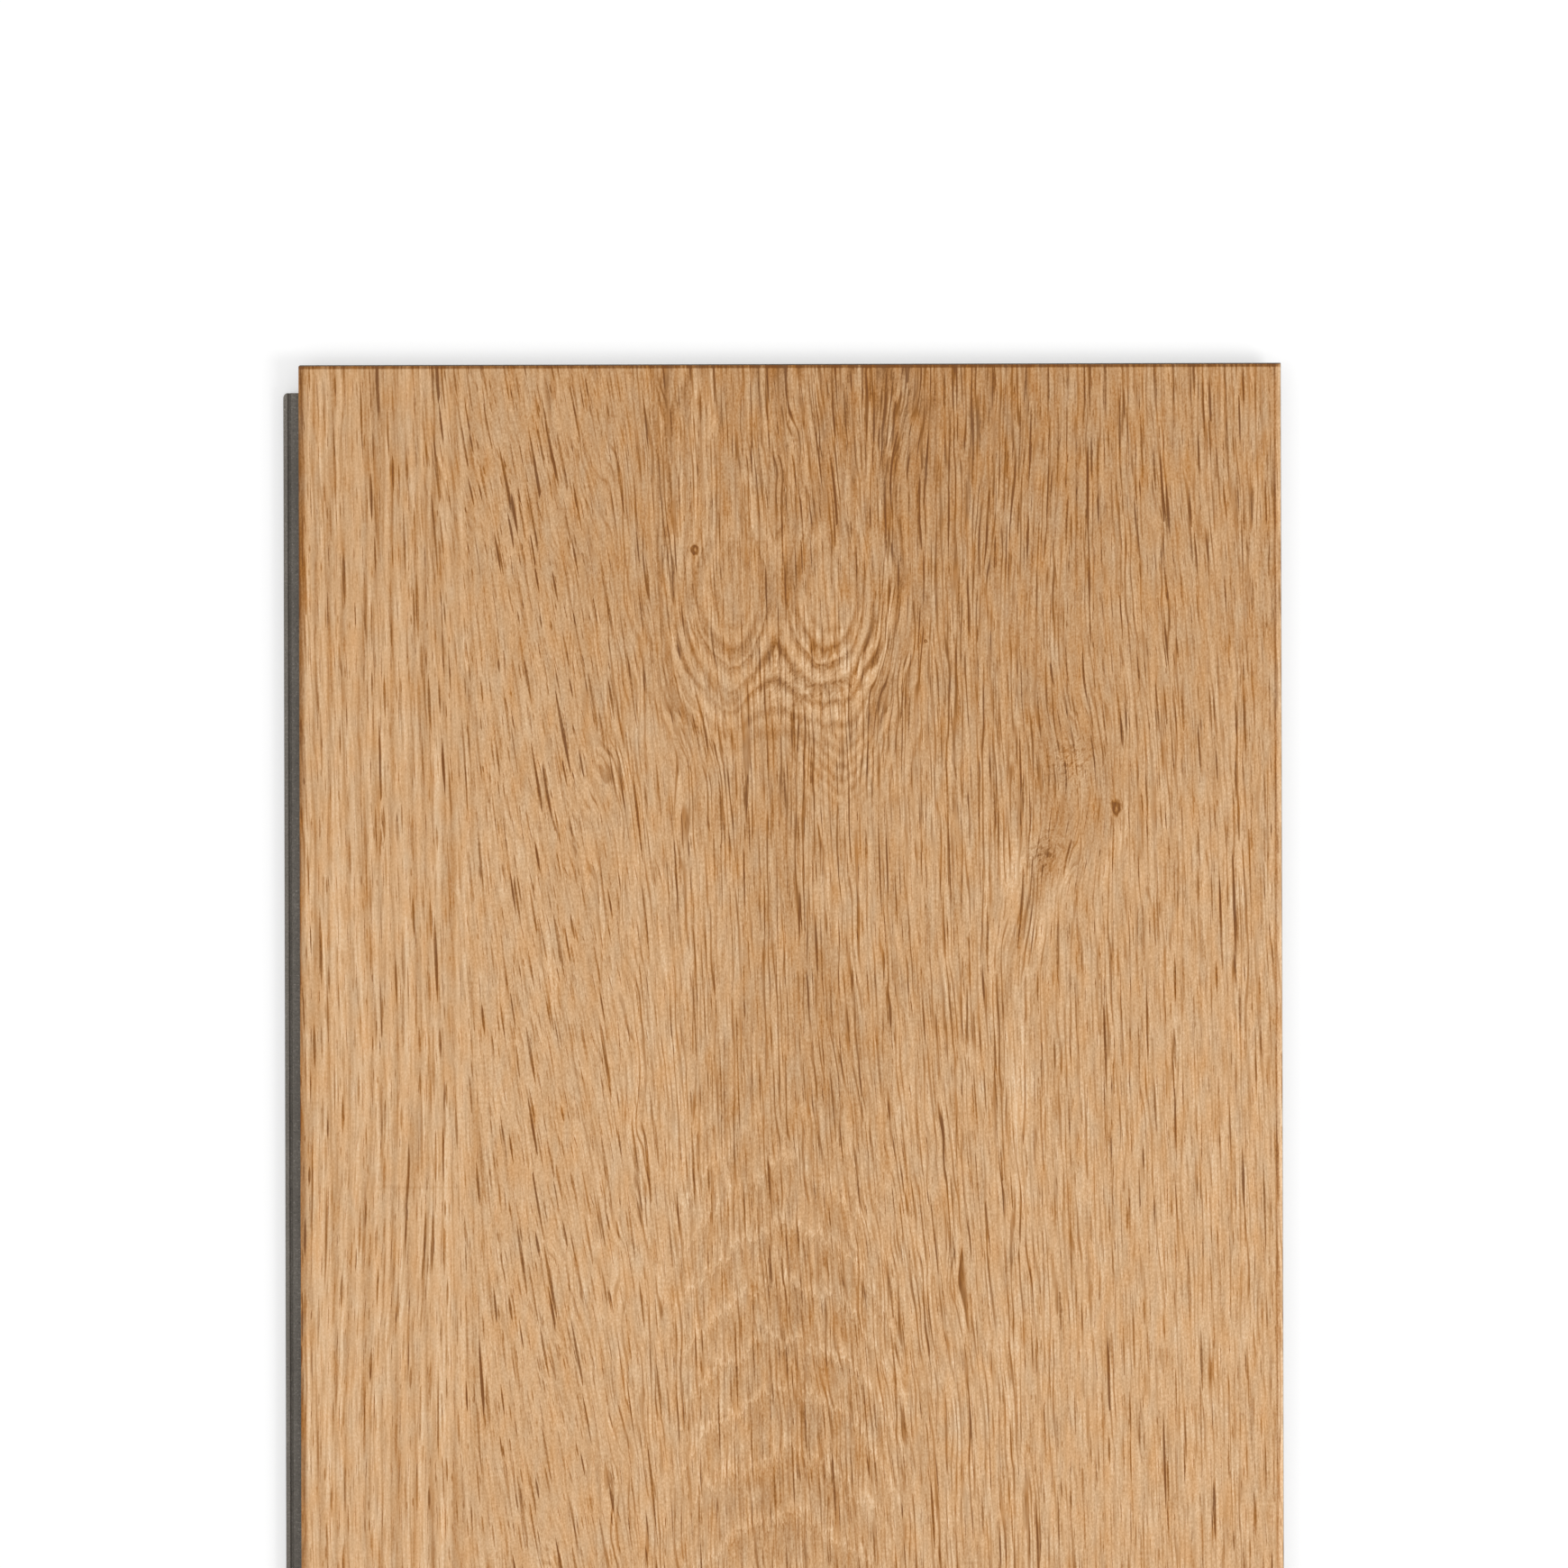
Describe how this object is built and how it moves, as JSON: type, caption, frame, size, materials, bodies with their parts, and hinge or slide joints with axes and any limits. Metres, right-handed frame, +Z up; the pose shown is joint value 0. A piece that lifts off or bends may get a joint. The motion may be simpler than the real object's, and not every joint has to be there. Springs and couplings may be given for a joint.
{
  "type": "hybrid floor plank",
  "caption": "Long flat click-together floor plank with an oak-look bevelled face, a grey rigid core milled into locking lips and hooks, and a foam-backed underside.",
  "frame": {"origin": "on the underside, under the centre of the walking face", "axes": "+X across the plank from the lip to the hook, +Y along the plank from the end lip to the end hook, +Z up out of the walking face"},
  "size_m": [0.232, 1.5261, 0.0065],
  "materials": {
    "oak_print": "matt embossed oak print",
    "mineral_core": "sawn and milled, matt",
    "backing_foam": "closed-cell foam, matt"
  },
  "bodies": {
    "root": {"wear_layer": "oak_print", "rigid_core": "mineral_core", "foam_underlay": "backing_foam"}
  },
  "joints": []
}
